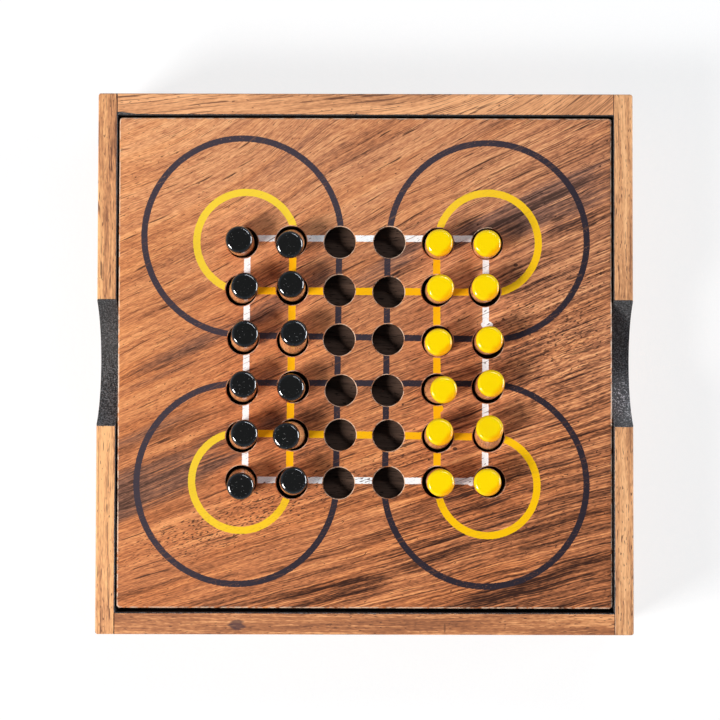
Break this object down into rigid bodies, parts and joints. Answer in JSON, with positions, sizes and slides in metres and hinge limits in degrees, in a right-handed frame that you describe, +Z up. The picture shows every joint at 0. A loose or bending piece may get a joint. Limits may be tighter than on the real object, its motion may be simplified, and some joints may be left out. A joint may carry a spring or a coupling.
{
  "type": "peg board game box",
  "caption": "Square wooden game box whose drilled playing board lifts out as the lid, with loose black and yellow pegs standing in its holes.",
  "frame": {"origin": "middle of the box's underside", "axes": "+Z up out of the playing board, +X to the players' right, +Y towards the back wall; the finger scoops are in the -X and +X walls"},
  "size_m": [0.18, 0.1816, 0.0486],
  "materials": {
    "wall_wood": "satin oiled hardwood, finger scoops and inner faces painted matt black",
    "floor_wood": "plain wood panel, inner face painted matt black",
    "cleat_wood": "painted matt black",
    "board_wood": "satin oiled hardwood with printed lines in white, yellow and dark violet-black",
    "backing_wood": "dark stained, matt",
    "peg_black": "natural dowel with a top dipped in gloss black lacquer",
    "peg_yellow": "natural dowel with a top dipped in gloss yellow lacquer"
  },
  "bodies": {
    "box": {"wall_left": "wall_wood", "wall_right": "wall_wood", "wall_front": "wall_wood", "wall_back": "wall_wood", "floor_panel": "floor_wood", "cleat_front": "cleat_wood", "cleat_back": "cleat_wood"},
    "board": {"board_panel": "board_wood", "board_backing": "backing_wood"},
    "black_peg_01": {"black_peg_01": "peg_black"},
    "black_peg_02": {"black_peg_02": "peg_black"},
    "black_peg_03": {"black_peg_03": "peg_black"},
    "black_peg_04": {"black_peg_04": "peg_black"},
    "black_peg_05": {"black_peg_05": "peg_black"},
    "black_peg_06": {"black_peg_06": "peg_black"},
    "black_peg_07": {"black_peg_07": "peg_black"},
    "black_peg_08": {"black_peg_08": "peg_black"},
    "black_peg_09": {"black_peg_09": "peg_black"},
    "black_peg_10": {"black_peg_10": "peg_black"},
    "black_peg_11": {"black_peg_11": "peg_black"},
    "black_peg_12": {"black_peg_12": "peg_black"},
    "yellow_peg_01": {"yellow_peg_01": "peg_yellow"},
    "yellow_peg_02": {"yellow_peg_02": "peg_yellow"},
    "yellow_peg_03": {"yellow_peg_03": "peg_yellow"},
    "yellow_peg_04": {"yellow_peg_04": "peg_yellow"},
    "yellow_peg_05": {"yellow_peg_05": "peg_yellow"},
    "yellow_peg_06": {"yellow_peg_06": "peg_yellow"},
    "yellow_peg_07": {"yellow_peg_07": "peg_yellow"},
    "yellow_peg_08": {"yellow_peg_08": "peg_yellow"},
    "yellow_peg_09": {"yellow_peg_09": "peg_yellow"},
    "yellow_peg_10": {"yellow_peg_10": "peg_yellow"},
    "yellow_peg_11": {"yellow_peg_11": "peg_yellow"},
    "yellow_peg_12": {"yellow_peg_12": "peg_yellow"}
  },
  "joints": [
    {"name": "board_lift", "type": "slide", "parent": "box", "child": "board", "axis": [0, 0, 1], "range_m": [0, 0.03]},
    {"name": "black_peg_01_lift", "type": "slide", "parent": "board", "child": "black_peg_01", "axis": [0, 0, 1], "range_m": [0, 0.02]},
    {"name": "black_peg_02_lift", "type": "slide", "parent": "board", "child": "black_peg_02", "axis": [0, 0, 1], "range_m": [0, 0.02]},
    {"name": "black_peg_03_lift", "type": "slide", "parent": "board", "child": "black_peg_03", "axis": [0, 0, 1], "range_m": [0, 0.02]},
    {"name": "black_peg_04_lift", "type": "slide", "parent": "board", "child": "black_peg_04", "axis": [0, 0, 1], "range_m": [0, 0.02]},
    {"name": "black_peg_05_lift", "type": "slide", "parent": "board", "child": "black_peg_05", "axis": [0, 0, 1], "range_m": [0, 0.02]},
    {"name": "black_peg_06_lift", "type": "slide", "parent": "board", "child": "black_peg_06", "axis": [0, 0, 1], "range_m": [0, 0.02]},
    {"name": "black_peg_07_lift", "type": "slide", "parent": "board", "child": "black_peg_07", "axis": [0, 0, 1], "range_m": [0, 0.02]},
    {"name": "black_peg_08_lift", "type": "slide", "parent": "board", "child": "black_peg_08", "axis": [0, 0, 1], "range_m": [0, 0.02]},
    {"name": "black_peg_09_lift", "type": "slide", "parent": "board", "child": "black_peg_09", "axis": [0, 0, 1], "range_m": [0, 0.02]},
    {"name": "black_peg_10_lift", "type": "slide", "parent": "board", "child": "black_peg_10", "axis": [0, 0, 1], "range_m": [0, 0.02]},
    {"name": "black_peg_11_lift", "type": "slide", "parent": "board", "child": "black_peg_11", "axis": [0, 0, 1], "range_m": [0, 0.02]},
    {"name": "black_peg_12_lift", "type": "slide", "parent": "board", "child": "black_peg_12", "axis": [0, 0, 1], "range_m": [0, 0.02]},
    {"name": "yellow_peg_01_lift", "type": "slide", "parent": "board", "child": "yellow_peg_01", "axis": [0, 0, 1], "range_m": [0, 0.02]},
    {"name": "yellow_peg_02_lift", "type": "slide", "parent": "board", "child": "yellow_peg_02", "axis": [0, 0, 1], "range_m": [0, 0.02]},
    {"name": "yellow_peg_03_lift", "type": "slide", "parent": "board", "child": "yellow_peg_03", "axis": [0, 0, 1], "range_m": [0, 0.02]},
    {"name": "yellow_peg_04_lift", "type": "slide", "parent": "board", "child": "yellow_peg_04", "axis": [0, 0, 1], "range_m": [0, 0.02]},
    {"name": "yellow_peg_05_lift", "type": "slide", "parent": "board", "child": "yellow_peg_05", "axis": [0, 0, 1], "range_m": [0, 0.02]},
    {"name": "yellow_peg_06_lift", "type": "slide", "parent": "board", "child": "yellow_peg_06", "axis": [0, 0, 1], "range_m": [0, 0.02]},
    {"name": "yellow_peg_07_lift", "type": "slide", "parent": "board", "child": "yellow_peg_07", "axis": [0, 0, 1], "range_m": [0, 0.02]},
    {"name": "yellow_peg_08_lift", "type": "slide", "parent": "board", "child": "yellow_peg_08", "axis": [0, 0, 1], "range_m": [0, 0.02]},
    {"name": "yellow_peg_09_lift", "type": "slide", "parent": "board", "child": "yellow_peg_09", "axis": [0, 0, 1], "range_m": [0, 0.02]},
    {"name": "yellow_peg_10_lift", "type": "slide", "parent": "board", "child": "yellow_peg_10", "axis": [0, 0, 1], "range_m": [0, 0.02]},
    {"name": "yellow_peg_11_lift", "type": "slide", "parent": "board", "child": "yellow_peg_11", "axis": [0, 0, 1], "range_m": [0, 0.02]},
    {"name": "yellow_peg_12_lift", "type": "slide", "parent": "board", "child": "yellow_peg_12", "axis": [0, 0, 1], "range_m": [0, 0.02]}
  ]
}
